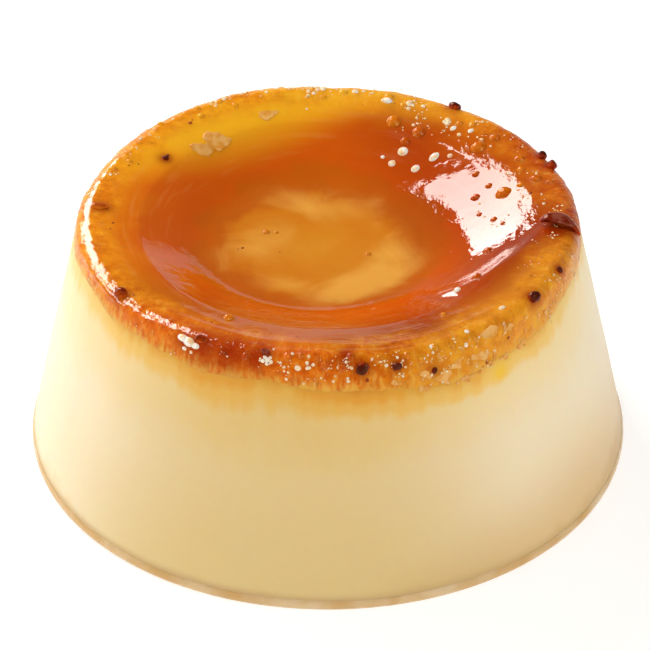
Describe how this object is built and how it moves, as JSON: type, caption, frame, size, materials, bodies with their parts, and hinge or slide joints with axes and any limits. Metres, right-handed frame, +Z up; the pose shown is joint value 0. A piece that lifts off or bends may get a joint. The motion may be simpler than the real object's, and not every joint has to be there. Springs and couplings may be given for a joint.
{
  "type": "creme caramel",
  "caption": "Unmoulded creme caramel: a tapered round of baked custard whose dished top and upper edge are covered by glossy set caramel with blisters and burnt sugar.",
  "frame": {"origin": "centre of the flat underside that the dessert stands on", "axes": "+Z up out of the dished top; -Y is the front, where the caramel's edge is seen from; +X is to the right from the front"},
  "size_m": [0.0794, 0.0794, 0.0355],
  "materials": {
    "custard": "baked egg custard, smooth and moist, pale cream yellow, stained amber just below the caramel and at the foot",
    "caramel": "set caramel, wet and glossy, golden on the floor of the dish and red amber on its wall, browned and craggy on the shoulder"
  },
  "bodies": {
    "root": {"custard": "custard", "caramel_layer": "caramel"}
  },
  "joints": []
}
